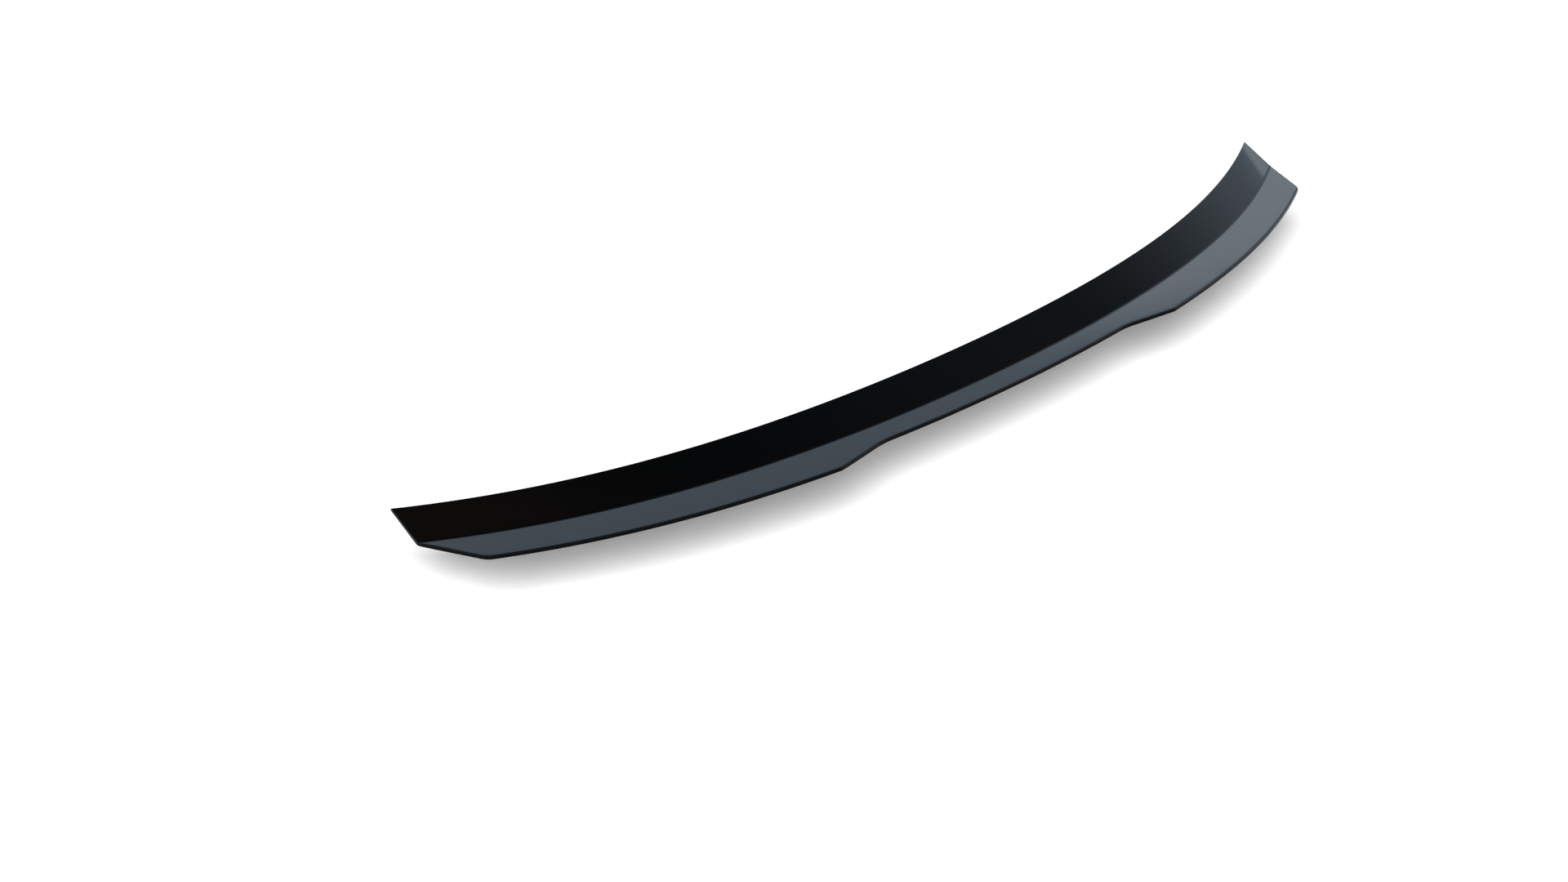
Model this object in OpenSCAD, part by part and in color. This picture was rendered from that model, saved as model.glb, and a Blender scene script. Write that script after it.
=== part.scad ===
// Bonded spoiler cap for the rear edge of a car's boot lid.
// A thin moulded shell has a flange that lies on the lid and a lip that stands out behind it.
// A strip of double-sided foam tape under the flange holds it, with its release liner still on.
//
// Frame: +X to the car's right-hand side seen from behind, +Y towards the car's front, +Z up.
// The origin is the middle of the foam tape's sticking face, which is what meets the car.

/* [Overall] */
// Width of the part, from end to end along X
width = 1250; // [1200:5:1350]
// Forward sweep of the fold line at the ends: the share that grows with the square of X
sweep_main = 93; // [70:1:100]
// Forward sweep of the fold line at the ends: the share that grows with the fourth power of X
sweep_ends = 49; // [30:1:50]
// How much lower the fold line is at the ends than in the middle
fold_drop = 6.9; // [0:0.1:12]
// Inside radius of the fold between flange and lip
fold_radius = 10; // [4:1:14]

/* [Flange] */
// Fore-and-aft depth of the flange in the middle
flange_depth = 46.5; // [46:0.5:60]
// How much shallower the flange is at its ends
flange_taper = 3.5; // [0:0.5:4]
// Rise of the flange towards the front in the middle, in degrees
flange_rise = 17.5; // [15:0.5:22]
// Extra rise of the flange at its ends, in degrees
flange_rise_ends = 4; // [0:0.5:8]
// Wall thickness at the flange's free edge
flange_edge_wall = 3; // [2:0.1:4]

/* [Lip] */
// Fore-and-aft depth of the lip outside the recess
lip_depth = 51; // [40:0.5:60]
// Fore-and-aft depth of the lip inside the recess
recess_lip_depth = 31.5; // [24:0.5:36]
// Rise of the lip towards the rear, in degrees
lip_rise = 6; // [2:0.5:12]
// Wall thickness of the lip
lip_wall = 3.9; // [3:0.1:5]
// How far the trailing corners sit inboard of the ends of the fold line
end_cut = 32; // [20:0.5:50]

/* [Recess] */
// Width of the recess where its edge runs parallel to the fold
recess_floor_width = 360; // [300:2:400]
// Width of the recess at its mouth
recess_mouth_width = 490; // [450:2:560]
// Radius where the recess's floor turns into its sloping sides
recess_inner_radius = 90; // [40:5:120]
// Radius where the recess's sloping sides meet the trailing edge
recess_outer_radius = 12; // [6:1:30]
// Radius of the trailing corners
end_corner_radius = 9; // [5:1:15]

/* [Tape] */
// Gap between the fold and the tape, square to the fold
tape_gap = 9; // [7:0.5:9.5]
// Width of the foam tape, square to the fold
tape_width = 25; // [19:1:25]
// How far the tape stops short of the shell's ends, along X
tape_end_gap = 1.5; // [0.5:0.5:10]
// Thickness of the foam tape with its two adhesive faces
tape_thickness = 1.1; // [0.8:0.1:1.6]
// Thickness of the release liner on the tape
liner_thickness = 0.2; // [0.1:0.05:0.3]

/* [Hidden] */

half = width / 2;
// Longest step between two cross-sections, and the steps in each rounded corner
section_step = 18;
corner_steps = 7;
fold_steps = 6;

// ---- the fold line and the surfaces on both sides of it ----

function sweep(x) = sweep_main * pow(x / half, 2) + sweep_ends * pow(x / half, 4);

// Angle in plan between the fold line and the X axis
function sweep_angle(x) =
    atan((2 * sweep_main * x / half + 4 * sweep_ends * pow(x / half, 3)) / half);

function fold_point(x) = [x, sweep(x), -fold_drop * sweep(x) / (sweep_main + sweep_ends)];

function flange_depth_at(x) = flange_depth - flange_taper * pow(x / half, 4);

function flange_rise_at(x) = flange_rise + flange_rise_ends * pow(x / half, 4);

// The lip's top surface, at a distance d behind the fold line
function lip_point(x, d) = fold_point(x) + [0, -d, d * tan(lip_rise)];

// ---- the trailing edge in plan, as [x, distance behind the fold line] ----

function unit(v) = v / norm(v);

function cross_sign(u, v) = sign(u[0] * v[1] - u[1] * v[0]);

// Points of the arc of radius r that rounds the corner b between a and c
function corner_arc(a, b, c, r) =
    let (u = unit(a - b),
         v = unit(c - b),
         inside = acos(u * v),
         centre = b + unit(u + v) * r / sin(inside / 2),
         first = b + u * r / tan(inside / 2) - centre,
         start = atan2(first[1], first[0]),
         turn = -cross_sign(u, v) * (180 - inside))
    [for (i = [0 : corner_steps])
        let (angle = start + turn * i / corner_steps)
        centre + r * [cos(angle), sin(angle)]];

// Points between p and q, without either end
function run(p, q) =
    let (steps = ceil(norm(q - p) / section_step))
    [for (i = [1 : 1 : steps - 1]) p + (q - p) * i / steps];

edge_middle = [0, recess_lip_depth];
edge_inner = [recess_floor_width / 2, recess_lip_depth];
edge_outer = [recess_mouth_width / 2, lip_depth];
edge_corner = [half - end_cut, lip_depth];
edge_end = [half, 0];

arc_inner = corner_arc(edge_middle, edge_inner, edge_outer, recess_inner_radius);
arc_outer = corner_arc(edge_inner, edge_outer, edge_corner, recess_outer_radius);
arc_corner = corner_arc(edge_outer, edge_corner, edge_end, end_corner_radius);

half_edge = concat(
    run(edge_middle, arc_inner[0]),
    arc_inner,
    run(arc_inner[corner_steps], arc_outer[0]),
    arc_outer,
    run(arc_outer[corner_steps], arc_corner[0]),
    arc_corner
);
last = len(half_edge) - 1;

trailing_edge = concat(
    [for (i = [last : -1 : 0]) [-half_edge[i][0], half_edge[i][1]]],
    [edge_middle],
    half_edge
);

// ---- cross-sections ----
// Each is a list of [top point, bottom point] pairs from the flange's free edge to the trailing edge.
// The flange runs straight fore and aft, and the lip fans in towards the trailing corners.

// X of the fold line's point that belongs to a point of the trailing edge
function fold_x(edge) = edge[0] * half / half_edge[last][0];

// Downward directions square to the flange's top, to the lip's top and midway between them
function under_flange(x) = [0, sin(flange_rise_at(x)), -cos(flange_rise_at(x))];
under_lip = [0, -sin(lip_rise), -cos(lip_rise)];

// Half the angle that the fold turns through
function half_fold(x) = (flange_rise_at(x) + lip_rise) / 2;

function fold_bottom(x) =
    fold_point(x) + unit(under_flange(x) + under_lip) * lip_wall / cos(half_fold(x));

function flange_top_edge(x) =
    let (d = flange_depth_at(x)) fold_point(x) + [0, d, d * tan(flange_rise_at(x))];

function flange_bottom_edge(x) = flange_top_edge(x) + under_flange(x) * flange_edge_wall;

// Directions from the fold towards the front, along the flange's top and underside
function top_line(x) = unit(flange_top_edge(x) - fold_point(x));
function bottom_line(x) = unit(flange_bottom_edge(x) - fold_bottom(x));

// The two edges of the tape on the flange, as distances from the fold along the flange
function tape_rear(x) = tape_gap / cos(sweep_angle(x));
function tape_front(x) = (tape_gap + tape_width) / cos(sweep_angle(x));

// A pair at a distance from the fold along the flange
function flange_pair(x, s) = [fold_point(x) + top_line(x) * s, fold_bottom(x) + bottom_line(x) * s];

// Pairs around the rounded fold, from the flange to the lip
function fold_pairs(x) =
    let (bend = half_fold(x),
         up = -unit(under_flange(x) + under_lip),
         centre = fold_point(x) + up * fold_radius / cos(bend))
    [for (i = [0 : fold_steps])
        let (angle = flange_rise_at(x) - 2 * bend * i / fold_steps,
             out = [0, sin(angle), -cos(angle)])
        [centre + out * fold_radius, centre + out * (fold_radius + lip_wall)]];

function lip_pair(edge) =
    let (top = lip_point(edge[0], edge[1])) [top, top + under_lip * lip_wall];

function shell_section(edge) =
    let (x = fold_x(edge))
    concat(
        [[flange_top_edge(x), flange_bottom_edge(x)]],
        [flange_pair(x, tape_front(x)), flange_pair(x, tape_rear(x))],
        fold_pairs(x),
        [lip_pair(edge)]
    );

// X of the tape's cross-section that belongs to a point of the trailing edge
function tape_x(edge) = fold_x(edge) * (half - tape_end_gap) / half;

// Direction square to the flange's underside
function out_of_flange(x) = let (b = bottom_line(x)) [0, b[2], -b[1]];

// A strip on the flange's underside, between two depths below it
function strip_section(x, near, far) =
    [for (s = [tape_front(x), tape_rear(x)])
        let (p = fold_bottom(x) + bottom_line(x) * s)
        [p + out_of_flange(x) * near, p + out_of_flange(x) * far]];

// The middle of the tape's sticking face, which is the part's origin
origin = fold_bottom(0) + bottom_line(0) * (tape_gap + tape_width / 2)
    + out_of_flange(0) * tape_thickness;

// ---- one closed skin over a row of cross-sections ----

module skin(sections) {
    pairs = len(sections[0]);
    rows = len(sections);
    function top(i, j) = i * 2 * pairs + 2 * j;
    function bottom(i, j) = top(i, j) + 1;
    function quad(a, b, c, d) = [[a, b, c], [a, c, d]];
    along = [for (i = [0 : rows - 2]) each concat(
        [for (j = [0 : pairs - 2]) each concat(
            quad(top(i, j), top(i + 1, j), top(i + 1, j + 1), top(i, j + 1)),
            quad(bottom(i, j), bottom(i, j + 1), bottom(i + 1, j + 1), bottom(i + 1, j)))],
        quad(top(i, 0), bottom(i, 0), bottom(i + 1, 0), top(i + 1, 0)),
        quad(top(i, pairs - 1), top(i + 1, pairs - 1), bottom(i + 1, pairs - 1), bottom(i, pairs - 1)))];
    ends = [for (j = [0 : pairs - 2]) each concat(
        quad(top(0, j), top(0, j + 1), bottom(0, j + 1), bottom(0, j)),
        quad(top(rows - 1, j + 1), top(rows - 1, j), bottom(rows - 1, j), bottom(rows - 1, j + 1)))];
    translate(-origin)
        polyhedron([for (section = sections) for (pair = section) each pair], concat(along, ends));
}

// ---- the sub-parts ----

// Flange and lip, moulded in one piece in gloss black plastic
module moulded_shell() {
    color("#20242a")
        skin([for (edge = trailing_edge) shell_section(edge)]);
}

// Double-sided acrylic foam tape on the flange's underside, over nearly the whole width
module foam_tape() {
    color("#3c3d40")
        skin([for (edge = trailing_edge) strip_section(tape_x(edge), 0, tape_thickness)]);
}

// Red release liner that covers the tape until the part is fitted
module release_liner() {
    color("#e08a90")
        skin([for (edge = trailing_edge)
            strip_section(tape_x(edge), tape_thickness, tape_thickness + liner_thickness)]);
}

moulded_shell();
foam_tape();
release_liner();
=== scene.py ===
"""Looks of a boot lid spoiler cap: a gloss black moulding with foam tape and a release liner.

Metres, in the CAD part's own frame: +X to the car's right seen from behind, +Y to its front and
+Z up. The origin is the middle of the foam tape's sticking face.
"""

import math

import bpy
import numpy as np
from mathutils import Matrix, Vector


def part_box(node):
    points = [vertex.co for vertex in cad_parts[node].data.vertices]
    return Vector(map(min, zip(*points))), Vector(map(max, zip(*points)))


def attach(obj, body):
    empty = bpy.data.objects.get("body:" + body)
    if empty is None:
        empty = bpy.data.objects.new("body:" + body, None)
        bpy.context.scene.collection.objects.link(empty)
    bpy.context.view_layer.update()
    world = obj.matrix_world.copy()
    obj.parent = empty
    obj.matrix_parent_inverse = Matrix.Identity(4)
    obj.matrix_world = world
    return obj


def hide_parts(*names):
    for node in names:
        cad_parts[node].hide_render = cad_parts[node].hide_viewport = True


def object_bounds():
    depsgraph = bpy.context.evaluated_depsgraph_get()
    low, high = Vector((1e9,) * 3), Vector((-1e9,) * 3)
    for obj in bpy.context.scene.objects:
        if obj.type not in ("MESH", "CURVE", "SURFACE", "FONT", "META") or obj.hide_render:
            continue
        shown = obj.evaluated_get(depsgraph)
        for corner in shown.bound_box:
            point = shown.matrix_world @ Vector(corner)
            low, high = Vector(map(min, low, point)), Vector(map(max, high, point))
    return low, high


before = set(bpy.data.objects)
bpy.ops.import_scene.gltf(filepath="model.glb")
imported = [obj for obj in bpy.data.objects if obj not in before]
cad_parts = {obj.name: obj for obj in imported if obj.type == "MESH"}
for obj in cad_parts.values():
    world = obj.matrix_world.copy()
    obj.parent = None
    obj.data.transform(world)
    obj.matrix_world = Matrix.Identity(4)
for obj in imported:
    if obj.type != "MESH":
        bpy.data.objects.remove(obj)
cad_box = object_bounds()

# ---- driving dimensions, the same as the CAD part's ----

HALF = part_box("moulded_shell")[1].x  # from the middle to an end
SWEEP_MAIN = 0.093  # forward sweep of the fold line at the ends, share that grows with x squared
SWEEP_ENDS = 0.049  # and the share that grows with x to the fourth power
FOLD_DROP = 0.0069  # how much lower the fold line is at the ends
FOLD_RADIUS = 0.010  # inside radius of the fold between flange and lip

FLANGE_DEPTH = 0.0465  # fore-and-aft depth in the middle
FLANGE_TAPER = 0.0035  # how much shallower it is at the ends
FLANGE_RISE = math.radians(17.5)  # rise towards the front in the middle
FLANGE_RISE_ENDS = math.radians(4)  # extra rise at the ends
FLANGE_EDGE_WALL = 0.003  # wall at the free edge

LIP_DEPTH = 0.051  # fore-and-aft depth outside the recess
RECESS_LIP_DEPTH = 0.0315  # depth inside the recess
LIP_RISE = math.radians(6)  # rise towards the rear
LIP_WALL = 0.0039
END_CUT = 0.032  # how far the trailing corners sit inboard of the fold line's ends

RECESS_FLOOR = 0.360  # width where its edge runs parallel to the fold
RECESS_MOUTH = 0.490  # width at its mouth
RECESS_INNER_RADIUS = 0.090
RECESS_OUTER_RADIUS = 0.012
END_CORNER_RADIUS = 0.009

TAPE_GAP = 0.009  # from the fold to the tape, square to the fold
TAPE_WIDTH = 0.025
TAPE_END_GAP = 0.0015  # how far it stops short of the shell's ends, along X
TAPE_THICKNESS = 0.0011
LINER_THICKNESS = 0.0002

# ---- the finer shape of the rims, which the CAD part leaves square ----

TRAILING_ROLL = 0.0031  # how far in from the trailing edge the top starts to roll down
TRAILING_ROLL_DROP = 0.0005
SMALL_ROLL = 0.0004  # the same at the free edge and the flange's ends
SMALL_ROLL_DROP = 0.0004
ROLL_BLEND = 0.012  # length over which one roll turns into the other
UNDER_RADIUS = 0.0002  # radius of the lower rim

# ---- the finer shape of the tape and its liner ----

TAPE_SIDE_HOLLOW = 0.00009  # how far its cut sides draw in
TAPE_CUT_WANDER = 0.00006  # how far its cut edges wander
TAPE_CUT_LENGTH = 0.011  # over which length they do
LINER_FILM = 0.00012  # the film itself: the rest of the liner's thickness is slack that it waves in
LINER_WAVE = 0.007  # from one wave across the film to the next
LINER_WAVE_SHIFT = 5.0  # how far the waves wander, as an angle
LINER_SHIFT_LENGTH = 0.05
LINER_CUT_WANDER = 0.00012
LINER_REAR_LENGTH = 0.07
LINER_FRONT_LENGTH = 0.09
RIPPLE_PARTS = np.array([1, 0.61, 0.37, 0.23])  # lengths of the waves that add up to a ripple

# ---- mesh density ----

STATION_STEP = 0.006  # along the trailing edge
ARC_STEP = 0.0012
ARC_STEPS_LEAST = 6
LIP_ROWS = 8
FOLD_ROWS = 5  # on each side of the fold line
FLANGE_ROWS = 7
ROLL_STEPS = 6
UNDER_STEPS = 3
FACE_STEPS = 2  # down the edge face, between its two rims
TAPE_STEP = 0.002  # along the tape and the liner
TAPE_SIDE_STEPS = 4
LINER_FACE_STEPS = 12


# ---- the fold line and the surfaces on both sides of it ----


def sweep(x):
    share = x / HALF
    return SWEEP_MAIN * share**2 + SWEEP_ENDS * share**4


def sweep_angle(x):
    """Angle in plan between the fold line and the X axis."""
    share = x / HALF
    return np.arctan((2 * SWEEP_MAIN * share + 4 * SWEEP_ENDS * share**3) / HALF)


def fold_height(x):
    return -FOLD_DROP * sweep(x) / (SWEEP_MAIN + SWEEP_ENDS)


def flange_depth(x):
    return FLANGE_DEPTH - FLANGE_TAPER * (x / HALF) ** 4


def flange_rise(x):
    return FLANGE_RISE + FLANGE_RISE_ENDS * (x / HALF) ** 4


def half_fold(x):
    """Half the angle that the fold turns through."""
    return (flange_rise(x) + LIP_RISE) / 2


def fold_lean(x):
    """Lean of the line that halves the fold."""
    return (flange_rise(x) - LIP_RISE) / 2


def wall(x, d):
    """Thickness at a distance d in front of the fold line: it thins towards the free edge."""
    rise = flange_rise(x)
    first = -LIP_WALL * np.tan(half_fold(x))
    last = flange_depth(x) / np.cos(rise)
    share = np.clip((d / np.cos(rise) - first) / (last - first), 0, 1)
    return LIP_WALL + (FLANGE_EDGE_WALL - LIP_WALL) * share


def fold_reach(x, rise):
    """How far the rounded fold reaches from the fold line, on the side that rises at this angle."""
    return FOLD_RADIUS * np.tan(half_fold(x)) * np.cos(rise)


def strip_point(x, along, below):
    """Point along the flange's underside from the fold, and at a distance below it."""
    rise, lean = flange_rise(x), fold_lean(x)
    depth = flange_depth(x)
    drop = LIP_WALL / np.cos(half_fold(x))
    fold = np.array([sweep(x) + np.sin(lean) * drop, fold_height(x) - np.cos(lean) * drop])
    edge = np.array([
        sweep(x) + depth + np.sin(rise) * FLANGE_EDGE_WALL,
        fold_height(x) + depth * np.tan(rise) - np.cos(rise) * FLANGE_EDGE_WALL,
    ])
    line = (edge - fold) / np.linalg.norm(edge - fold, axis=0)
    y = fold[0] + line[0] * along + line[1] * below
    z = fold[1] + line[1] * along - line[0] * below
    return np.stack(np.broadcast_arrays(x, y, z), axis=-1)


ORIGIN = strip_point(0.0, TAPE_GAP + TAPE_WIDTH / 2, TAPE_THICKNESS)


def shell_point(x, d, depth):
    """Point at a distance d in front of the fold line in plan, and depth below the top surface."""
    rise, bend, lean = flange_rise(x), half_fold(x), fold_lean(x)
    centre_y = -np.sin(lean) * FOLD_RADIUS / np.cos(bend)
    centre_z = np.cos(lean) * FOLD_RADIUS / np.cos(bend)
    slope = np.clip((d - centre_y) / FOLD_RADIUS, -np.sin(LIP_RISE), np.sin(rise))
    angle = np.arcsin(slope)
    rounded = (slope > -np.sin(LIP_RISE)) & (slope < np.sin(rise))
    straight_z = np.where(d > 0, d * np.tan(rise), -d * np.tan(LIP_RISE))
    top_z = np.where(rounded, centre_z - FOLD_RADIUS * np.cos(angle), straight_z)
    y = sweep(x) + d + np.sin(angle) * depth
    z = fold_height(x) + top_z - np.cos(angle) * depth
    return np.stack(np.broadcast_arrays(x, y, z), axis=-1) - ORIGIN


# ---- the trailing edge in plan, as (x, distance behind the fold line) ----


def unit(v):
    return v / np.linalg.norm(v)


def run(p, q, step):
    """Points from p to q, with neither end."""
    count = max(1, math.ceil(np.linalg.norm(q - p) / step))
    return [p + (q - p) * i / count for i in range(1, count)]


def corner_arc(before, corner, after, radius):
    """Points of the arc that rounds a corner."""
    u, v = unit(before - corner), unit(after - corner)
    inside = math.acos(u @ v)
    centre = corner + unit(u + v) * radius / math.sin(inside / 2)
    first = corner + u * radius / math.tan(inside / 2) - centre
    turn = -math.copysign(math.pi - inside, u[0] * v[1] - u[1] * v[0])
    steps = max(ARC_STEPS_LEAST, math.ceil(radius * abs(turn) / ARC_STEP))
    start = math.atan2(first[1], first[0])
    angles = start + turn * np.arange(steps + 1) / steps
    return [centre + radius * np.array([math.cos(a), math.sin(a)]) for a in angles]


def trailing_edge():
    """The whole trailing edge from the left end of the fold line to the right end."""
    corners = [
        np.array([0.0, RECESS_LIP_DEPTH]),
        np.array([RECESS_FLOOR / 2, RECESS_LIP_DEPTH]),
        np.array([RECESS_MOUTH / 2, LIP_DEPTH]),
        np.array([HALF - END_CUT, LIP_DEPTH]),
        np.array([HALF, 0.0]),
    ]
    radii = [RECESS_INNER_RADIUS, RECESS_OUTER_RADIUS, END_CORNER_RADIUS]
    points = [corners[0]]
    for i, radius in enumerate(radii, start=1):
        arc = corner_arc(corners[i - 1], corners[i], corners[i + 1], radius)
        points += run(points[-1], arc[0], STATION_STEP) + arc
    points += run(points[-1], corners[-1], STATION_STEP / 2) + [corners[-1]]
    right = np.array(points)
    left = right[:0:-1] * [-1, 1]
    return np.concatenate([left, right])


# ---- meshes ----


def build_mesh(name, points, faces, face_materials, materials, smooth=True):
    """A piece from its points and faces, with normals weighted by the faces' areas."""
    mesh = bpy.data.meshes.new(name)
    mesh.from_pydata([tuple(p) for p in points], [], faces)
    mesh.polygons.foreach_set("material_index", face_materials)
    mesh.polygons.foreach_set("use_smooth", [smooth] * len(faces))
    for material in materials:
        mesh.materials.append(material)
    mesh.update()
    if smooth:
        normals = np.zeros((len(points), 3))
        for polygon in mesh.polygons:
            normals[list(polygon.vertices)] += np.array(polygon.normal) * polygon.area
        normals /= np.linalg.norm(normals, axis=1, keepdims=True)
        mesh.normals_split_custom_set_from_vertices(normals)
    piece = bpy.data.objects.new(name, mesh)
    bpy.context.scene.collection.objects.link(piece)
    return piece


def distinct(corners):
    """A face's corners without repeats."""
    kept = []
    for corner in corners:
        if corner not in kept:
            kept.append(corner)
    return kept


def smoothstep(share):
    share = np.clip(share, 0, 1)
    return share * share * (3 - 2 * share)


# ---- the moulded shell ----

GLOSS, EDGE, BONDING = 0, 1, 2  # places in its list of materials


def shell_outline():
    """Plan outline from the fold line's left end, anticlockwise, and where the roll is wide."""
    edge = trailing_edge()
    x = edge[:, 0]
    rear = np.stack([x, sweep(x) - edge[:, 1]], axis=1)
    front = np.stack([x, sweep(x) + flange_depth(x)], axis=1)[::-1]
    reach = fold_reach(HALF, flange_rise(HALF))
    ahead = np.concatenate([
        np.linspace(0, reach, FOLD_ROWS + 1)[1:],
        np.linspace(reach, flange_depth(HALF), FLANGE_ROWS + 1)[1:-1],
    ])
    right = np.stack([np.full(len(ahead), HALF), sweep(HALF) + ahead], axis=1)
    left = right[::-1] * [-1, 1]
    wide = smoothstep((HALF - np.abs(x)) / ROLL_BLEND)
    small = np.zeros(len(front) + 2 * len(ahead))
    return np.concatenate([rear, right, front, left]), np.concatenate([wide, small]), len(x)


def inward(outline):
    """At each point of the outline, the move that takes it one unit in from both its sides."""
    ahead = np.roll(outline, -1, axis=0) - outline
    ahead /= np.linalg.norm(ahead, axis=1, keepdims=True)
    behind = np.roll(ahead, 1, axis=0)
    side_ahead = np.stack([-ahead[:, 1], ahead[:, 0]], axis=1)
    side_behind = np.stack([-behind[:, 1], behind[:, 0]], axis=1)
    middle = side_ahead + side_behind
    middle /= np.linalg.norm(middle, axis=1, keepdims=True)
    return middle / np.sum(middle * side_ahead, axis=1, keepdims=True)


def rim_profile(wide):
    """Steps down the rim at each outline point, as pairs of inset and depth, then the lower rim."""
    roll = SMALL_ROLL + (TRAILING_ROLL - SMALL_ROLL) * wide
    drop = SMALL_ROLL_DROP + (TRAILING_ROLL_DROP - SMALL_ROLL_DROP) * wide
    upper = []
    for angle in np.linspace(0, math.pi / 2, ROLL_STEPS + 1):
        upper.append((roll * (1 - math.sin(angle)), drop * (1 - math.cos(angle))))
    lower = []
    for angle in np.linspace(0, math.pi / 2, UNDER_STEPS + 1):
        inset = UNDER_RADIUS * (1 - math.cos(angle))
        lower.append((np.full_like(roll, inset), UNDER_RADIUS * (1 - math.sin(angle))))
    return upper, lower


def row_distances(rear, front, x):
    """Distances from the fold line of a column's rows, from the trailing edge to the free edge."""
    # the fold takes at most half of the lip, which runs out at the ends
    behind = min(fold_reach(x, LIP_RISE), max(-rear, 0) / 2)
    ahead = fold_reach(x, flange_rise(x))
    return np.concatenate([
        np.linspace(rear, -behind, LIP_ROWS + 1)[:-1],
        np.linspace(-behind, 0, FOLD_ROWS + 1)[:-1],
        np.linspace(0, ahead, FOLD_ROWS + 1)[:-1],
        np.linspace(ahead, front, FLANGE_ROWS + 1),
    ])


def add_skin(points, faces, first_of_ring, plan, columns, under):
    """Fills the shell's top or underside inside its ring. Returns the new faces' materials."""
    rear_rows = LIP_ROWS + FOLD_ROWS
    rows = rear_rows + FOLD_ROWS + FLANGE_ROWS
    end_rows = rows - rear_rows
    last = columns - 1
    count = len(plan)

    def on_ring(column, row):
        if row == 0:
            return column
        if row == rows:
            return last + end_rows + last - column
        if column == last:
            return last + max(row - rear_rows, 0)
        if column == 0:
            return (count - max(row - rear_rows, 0)) % count
        return None

    inner = {}
    for column in range(1, last):
        rear = plan[on_ring(column, 0)]
        front = plan[on_ring(column, rows)]
        middle = (rear[0] + front[0]) / 2
        distances = row_distances(rear[1] - sweep(rear[0]), front[1] - sweep(front[0]), middle)
        share = (distances - distances[0]) / (distances[-1] - distances[0])
        x = rear[0] + (front[0] - rear[0]) * share
        depth = wall(x, distances) if under else np.zeros_like(x)
        for row in range(1, rows):
            inner[column, row] = len(points)
            points.append(shell_point(x[row], distances[row], depth[row]))

    def at(column, row):
        place = on_ring(column, row)
        return inner[column, row] if place is None else first_of_ring + place

    materials = []
    for column in range(last):
        for row in range(rows):
            corners = distinct([
                at(column, row),
                at(column + 1, row),
                at(column + 1, row + 1),
                at(column, row + 1),
            ])
            if len(corners) > 2:
                faces.append(corners[::-1] if under else corners)
                materials.append(BONDING if under and row >= rear_rows else GLOSS)
    return materials


def make_shell(materials):
    """Rings down the rim from the top to the underside, and a skin inside the first and the last."""
    outline, wide, columns = shell_outline()
    move = inward(outline)
    upper, lower = rim_profile(wide)
    points, faces, face_materials, rings = [], [], [], []

    def add_ring(inset, depth_of):
        plan = outline + move * inset[:, None]
        d = plan[:, 1] - sweep(plan[:, 0])
        ring = shell_point(plan[:, 0], d, depth_of(plan[:, 0], d))
        rings.append((len(points), plan))
        points.extend(ring)

    for inset, drop in upper:
        add_ring(inset, lambda x, d, drop=drop: drop)
    top_drop = upper[-1][1]
    for i in range(1, FACE_STEPS):
        share = i / FACE_STEPS
        add_ring(
            upper[-1][0],
            lambda x, d, share=share: top_drop + (wall(x, d) - UNDER_RADIUS - top_drop) * share,
        )
    for inset, rise in lower:
        add_ring(inset, lambda x, d, rise=rise: wall(x, d) - rise)

    count = len(outline)
    for k in range(len(rings) - 1):
        above, below = rings[k][0], rings[k + 1][0]
        for i in range(count):
            j = (i + 1) % count
            faces.append([above + i, below + i, below + j, above + j])
            face_materials.append(GLOSS if k < ROLL_STEPS else EDGE)
    face_materials += add_skin(points, faces, *rings[0], columns, under=False)
    face_materials += add_skin(points, faces, *rings[-1], columns, under=True)
    return build_mesh("shell_moulding", points, faces, face_materials, materials)


# ---- the foam tape and its liner ----


def ripple(x, seed, size, length):
    """A smooth irregular wave along the part, up to this size."""
    phases = np.random.default_rng(seed).uniform(0, 2 * math.pi, len(RIPPLE_PARTS))
    waves = np.sin(2 * math.pi * x / (length * RIPPLE_PARTS) + phases)
    return size * waves.mean()


def tape_edges(x):
    """The tape's rear and front edges, as distances from the fold along the flange."""
    square = np.cos(sweep_angle(x))
    return TAPE_GAP / square, (TAPE_GAP + TAPE_WIDTH) / square


def closed_strip(name, section, material):
    """A closed strip along the tape, between the two facing rows of (along, below) of section(x)."""
    half = HALF - TAPE_END_GAP
    stations = np.linspace(-half, half, 2 * math.ceil(half / TAPE_STEP) + 1)
    points, faces = [], []
    for x in stations:
        first, second = section(x)
        loop = first + second[::-1]
        points += [strip_point(x, along, below) - ORIGIN for along, below in loop]
    count = len(loop)
    last = len(points) - count
    for a in range(0, last, count):
        b = a + count
        for j in range(count):
            k = (j + 1) % count
            faces.append([a + j, b + j, b + k, a + k])
    for j in range(len(first) - 1):
        cap = [j, j + 1, count - 2 - j, count - 1 - j]
        faces.append(cap)
        faces.append([last + corner for corner in cap[::-1]])
    return build_mesh(name, points, faces, [0] * len(faces), [material], smooth=False)


def make_tape(material):
    """The foam tape, whose cut sides draw in between its two faces."""

    def section(x):
        rear, front = tape_edges(x)
        down = np.linspace(0, TAPE_THICKNESS, TAPE_SIDE_STEPS + 1)
        hollow = TAPE_SIDE_HOLLOW * np.sin(math.pi * down / TAPE_THICKNESS) ** 2
        hollow += abs(ripple(x, seed=5, size=TAPE_CUT_WANDER, length=TAPE_CUT_LENGTH))
        return list(zip(front - hollow, down)), list(zip(rear + hollow, down))

    return closed_strip("tape_foam", section, material)


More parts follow.
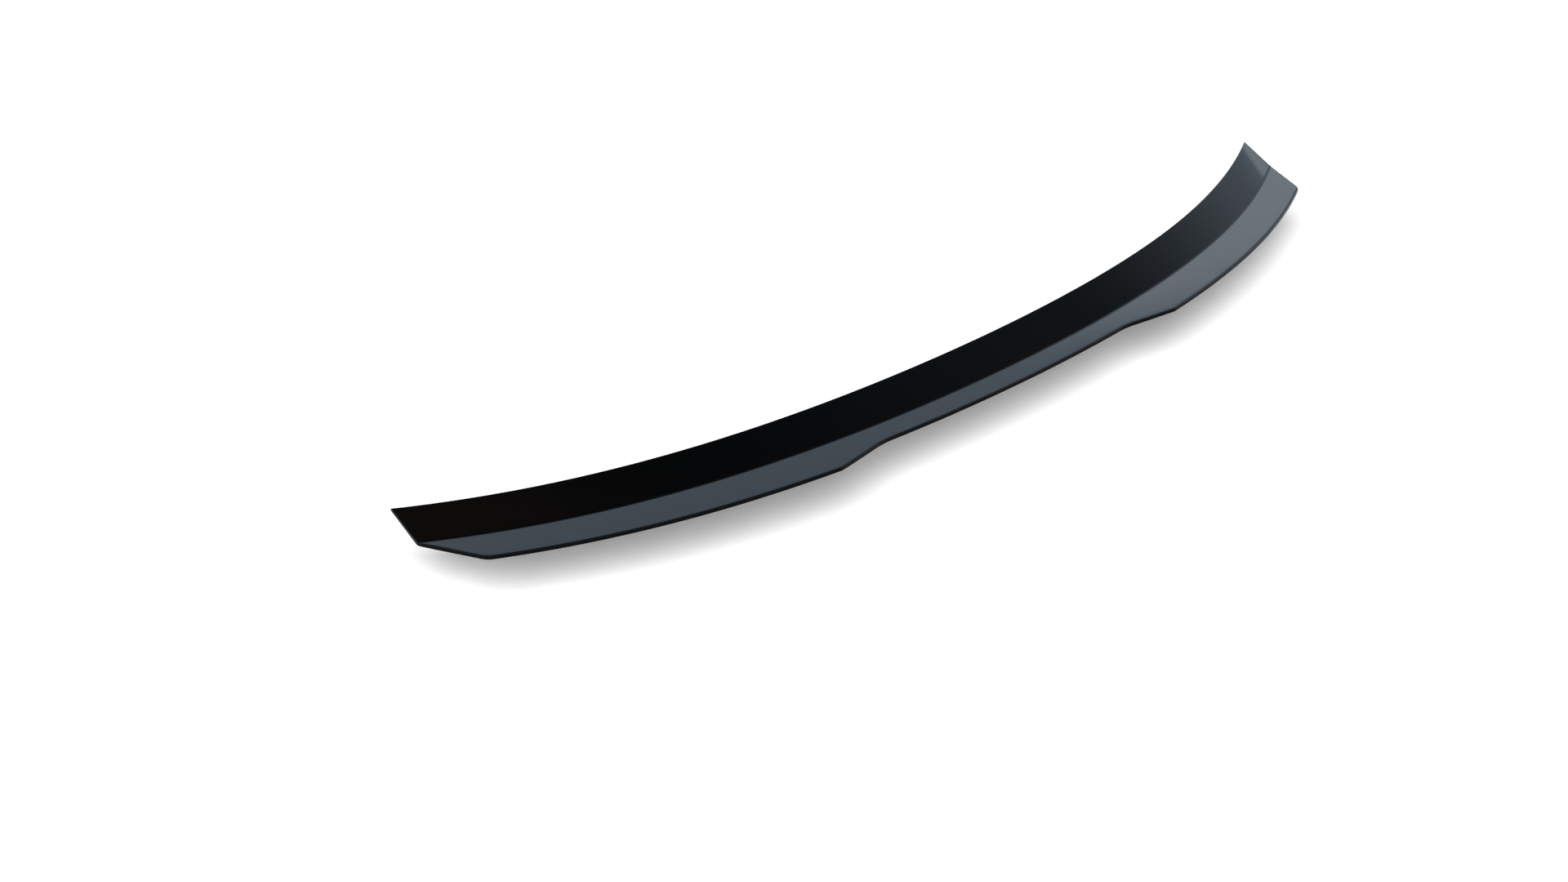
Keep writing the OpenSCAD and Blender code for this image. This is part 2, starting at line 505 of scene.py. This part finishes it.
def make_liner(material):
    """The liner, a film that lies on the tape in slight waves."""
    slack = LINER_THICKNESS - LINER_FILM

    def section(x):
        rear, front = tape_edges(x)
        rear += ripple(x, seed=11, size=LINER_CUT_WANDER, length=LINER_REAR_LENGTH)
        front += ripple(x, seed=12, size=LINER_CUT_WANDER, length=LINER_FRONT_LENGTH)
        front -= LINER_CUT_WANDER
        across = np.linspace(front, rear, LINER_FACE_STEPS + 1)
        shift = ripple(x, seed=3, size=LINER_WAVE_SHIFT, length=LINER_SHIFT_LENGTH)
        wave = np.sin(2 * math.pi * across / LINER_WAVE + shift)
        near = TAPE_THICKNESS + slack * (0.5 + 0.5 * wave)
        return list(zip(across, near + LINER_FILM)), list(zip(across, near))

    return closed_strip("liner_film", section, material)


# ---- materials ----


class Nodes:
    """Builds one material's nodes with short calls."""

    def __init__(self, name):
        self.material = bpy.data.materials.new(name)
        self.material.use_nodes = True
        self.tree = self.material.node_tree
        self.shader = self.tree.nodes["Principled BSDF"]
        self.place = self.add("ShaderNodeTexCoord").outputs["Object"]

    def add(self, kind, **settings):
        node = self.tree.nodes.new(kind)
        for key, value in settings.items():
            setattr(node, key, value)
        return node

    def link(self, source, target):
        self.tree.links.new(source, target)

    def set(self, **values):
        for key, value in values.items():
            self.shader.inputs[key.replace("_", " ")].default_value = value

    def stretched(self, scale):
        """The object's coordinates, scaled along each axis."""
        node = self.add("ShaderNodeMapping")
        node.inputs["Scale"].default_value = scale
        self.link(self.place, node.inputs["Vector"])
        return node.outputs["Vector"]

    def noise(self, scale, detail=2.0, roughness=0.5, vector=None):
        node = self.add("ShaderNodeTexNoise")
        node.inputs["Scale"].default_value = scale
        node.inputs["Detail"].default_value = detail
        node.inputs["Roughness"].default_value = roughness
        self.link(vector or self.place, node.inputs["Vector"])
        return node.outputs["Fac"]

    def cells(self, scale):
        node = self.add("ShaderNodeTexVoronoi")
        node.inputs["Scale"].default_value = scale
        self.link(self.place, node.inputs["Vector"])
        return node.outputs["Distance"]

    def between(self, value, low, high, start=0.3, end=0.7):
        """Carries a value's range start to end over to low to high."""
        node = self.add("ShaderNodeMapRange")
        node.inputs["From Min"].default_value = start
        node.inputs["From Max"].default_value = end
        node.inputs["To Min"].default_value = low
        node.inputs["To Max"].default_value = high
        self.link(value, node.inputs["Value"])
        return node.outputs["Result"]

    def mix(self, value, low, high):
        """A color between two."""
        node = self.add("ShaderNodeMix", data_type="RGBA")
        ends = [socket for socket in node.inputs if socket.type == "RGBA"]
        ends[0].default_value = (*low, 1)
        ends[1].default_value = (*high, 1)
        self.link(value, node.inputs["Factor"])
        return next(socket for socket in node.outputs if socket.type == "RGBA")

    def bump(self, height, distance):
        node = self.add("ShaderNodeBump")
        node.inputs["Distance"].default_value = distance
        self.link(height, node.inputs["Height"])
        return node.outputs["Normal"]

    def finish(self, color, roughness=None, normal=None):
        """Links what varies over the surface, and hands over the material."""
        self.link(color, self.shader.inputs["Base Color"])
        if roughness:
            self.link(roughness, self.shader.inputs["Roughness"])
        if normal:
            self.link(normal, self.shader.inputs["Normal"])
        return self.material


def gloss_black():
    """Gloss black plastic with a faint orange peel and barely visible polishing marks."""
    n = Nodes("gloss_black_plastic")
    n.set(IOR=1.5)
    shade = n.noise(scale=14, detail=3)
    polish = n.noise(scale=30, detail=4, roughness=0.6)
    peel = n.noise(scale=330, detail=1.5)
    return n.finish(
        color=n.mix(shade, low=(0.0003, 0.0004, 0.0005), high=(0.0007, 0.0008, 0.0009)),
        roughness=n.between(polish, low=0.035, high=0.06),
        normal=n.bump(peel, distance=0.000002),
    )


def trimmed_edge():
    """The same plastic's trimmed rim, with fine lines along it and a weaker shine."""
    n = Nodes("trimmed_black_edge")
    n.set(Specular_IOR_Level=0.045)
    shade = n.noise(scale=220, detail=3)
    rubbing = n.noise(scale=500, detail=3)
    lines = n.noise(scale=900, detail=2, vector=n.stretched((0.02, 0.02, 1)))
    return n.finish(
        color=n.mix(shade, low=(0.0004, 0.0004, 0.0004), high=(0.0009, 0.0009, 0.0008)),
        roughness=n.between(rubbing, low=0.16, high=0.26),
        normal=n.bump(lines, distance=0.00001),
    )


def keyed_face():
    """The pale keyed surface of the flange's underside, finely scored for the tape."""
    n = Nodes("keyed_bonding_face")
    scores = n.noise(scale=1500, detail=3, roughness=0.6, vector=n.stretched((0.02, 1, 1)))
    return n.finish(
        color=n.mix(scores, low=(0.52, 0.525, 0.53), high=(0.66, 0.665, 0.67)),
        roughness=n.between(n.noise(scale=200, detail=3), low=0.5, high=0.7),
        normal=n.bump(scores, distance=0.00002),
    )


def acrylic_foam():
    """Dark grey foam whose cut sides show small closed cells."""
    n = Nodes("acrylic_foam")
    n.set(Roughness=0.9)
    cells = n.cells(scale=2600)
    shade = n.between(cells, low=0, high=1, start=0, end=0.7)
    return n.finish(
        color=n.mix(shade, low=(0.03, 0.031, 0.034), high=(0.075, 0.077, 0.08)),
        normal=n.bump(cells, distance=0.00008),
    )


def liner_film():
    """Thin pale red film with a soft shine and slight waves."""
    n = Nodes("release_liner_film")
    shade = n.noise(scale=60, detail=3)
    return n.finish(
        color=n.mix(shade, low=(0.72, 0.29, 0.32), high=(0.79, 0.34, 0.37)),
        roughness=n.between(n.noise(scale=90, detail=3), low=0.24, high=0.38),
        normal=n.bump(n.noise(scale=120), distance=0.00005),
    )


def pale_floor():
    """Matt floor, with the warm tint that looks neutral in the bluish light."""
    n = Nodes("pale_floor")
    n.set(Roughness=1.0, Specular_IOR_Level=0.0)
    shade = n.noise(scale=3)
    return n.finish(color=n.mix(shade, low=(0.928, 0.822, 0.739), high=(0.934, 0.828, 0.745)))


# ---- stage ----

AIM = Vector((-0.19152, 0.09365, -0.06145))  # the point in the middle of the view
DISTANCE = 2.4682
AZIMUTH = math.radians(-40.70)
ELEVATION = math.radians(32.42)
LENS = 53.94  # mm, on a sensor of this width
SENSOR = 36

FLOOR_GAP = 0.055  # between the part's lowest point and the floor
FLOOR_HALF = 30.0
SUN_STRENGTH = 4.7
SUN_COLOR = (0.885, 1.0, 1.112)  # bluish, like the sky
SUN_ANGLE = math.radians(46)  # wide, for a soft shadow
SUN_LEAN = (math.radians(24.3), math.radians(-33))


def make_camera():
    data = bpy.data.cameras.new("camera")
    data.sensor_width = SENSOR
    data.lens = LENS
    camera = bpy.data.objects.new("camera", data)
    back = Vector((
        math.sin(AZIMUTH) * math.cos(ELEVATION),
        -math.cos(AZIMUTH) * math.cos(ELEVATION),
        math.sin(ELEVATION),
    ))
    camera.location = AIM + back * DISTANCE
    camera.rotation_euler = (-back).to_track_quat("-Z", "Y").to_euler()
    bpy.context.scene.collection.objects.link(camera)
    bpy.context.scene.camera = camera


def make_floor():
    z = cad_box[0].z - FLOOR_GAP
    signs = [(-1, -1), (1, -1), (1, 1), (-1, 1)]
    corners = [(x * FLOOR_HALF, y * FLOOR_HALF, z) for x, y in signs]
    mesh = bpy.data.meshes.new("floor")
    mesh.from_pydata(corners, [], [(0, 1, 2, 3)])
    mesh.materials.append(pale_floor())
    floor = bpy.data.objects.new("floor", mesh)
    bpy.context.scene.collection.objects.link(floor)


def make_sun():
    data = bpy.data.lights.new("softlight", "SUN")
    data.energy = SUN_STRENGTH
    data.color = SUN_COLOR
    data.angle = SUN_ANGLE
    sun = bpy.data.objects.new("softlight", data)
    sun.rotation_euler = (SUN_LEAN[0], SUN_LEAN[1], 0)
    sun.visible_glossy = False
    bpy.context.scene.collection.objects.link(sun)


# A plain studio, as colors at elevations in degrees that ease from one to the next
SKY = [
    (19, (1.05, 1.15, 1.3)),  # a bright panel, down to the floor
    (21, (1.15, 1.35, 1.5)),  # its upper rim
    (22, (0.55, 0.7, 0.85)),  # a dimmer wall
    (26, (0.5, 0.6, 0.7)),
    (45, (0.08, 0.1, 0.12)),  # a dark ceiling
    (65, (0.03, 0.03, 0.03)),
    (90, (0.09, 0.06, 0.05)),
]
SKY_SCALE = 2.0  # a ramp's colors stop at 1, so they are stored divided by this
SKY_DIP = 0.167  # how steeply the panel's upper rim sinks towards +X
SKY_DIP_START = 0.8  # how far towards +X that starts, on a sphere of radius 1


def make_sky():
    """A studio that is bright near the horizon and dark overhead."""

    def calculate(operation, first, second):
        node = tree.nodes.new("ShaderNodeMath")
        node.operation = operation
        for source, socket in zip((first, second), node.inputs):
            if isinstance(source, float):
                socket.default_value = source
            else:
                tree.links.new(source, socket)
        return node.outputs["Value"]

    world = bpy.data.worlds.new("studio")
    world.use_nodes = True
    tree = world.node_tree
    background = tree.nodes["Background"]
    place = tree.nodes.new("ShaderNodeTexCoord")
    split = tree.nodes.new("ShaderNodeSeparateXYZ")
    ramp = tree.nodes.new("ShaderNodeValToRGB")
    tree.links.new(place.outputs["Generated"], split.inputs["Vector"])
    past = calculate("SUBTRACT", split.outputs["X"], SKY_DIP_START)
    dip = calculate("MULTIPLY", calculate("MAXIMUM", past, 0.0), SKY_DIP)
    tree.links.new(calculate("ADD", split.outputs["Z"], dip), ramp.inputs["Fac"])
    tree.links.new(ramp.outputs["Color"], background.inputs["Color"])
    background.inputs["Strength"].default_value = SKY_SCALE
    ramp.color_ramp.interpolation = "EASE"
    stops = ramp.color_ramp.elements
    while len(stops) < len(SKY):
        stops.new(1)
    for stop, (elevation, color) in zip(stops, SKY):
        stop.position = math.sin(math.radians(elevation))
        stop.color = (*[channel / SKY_SCALE for channel in color], 1)
    bpy.context.scene.world = world


make_camera()
make_floor()
make_sun()
make_sky()
bpy.context.scene.view_settings.view_transform = "Standard"

shell = make_shell([gloss_black(), trimmed_edge(), keyed_face()])
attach(shell, "root")
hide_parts("moulded_shell")

tape = make_tape(acrylic_foam())
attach(tape, "root")
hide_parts("foam_tape")

liner = make_liner(liner_film())
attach(liner, "root")
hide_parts("release_liner")
liner.visible_diffuse = False  # keeps its red off the floor, which stays neutral
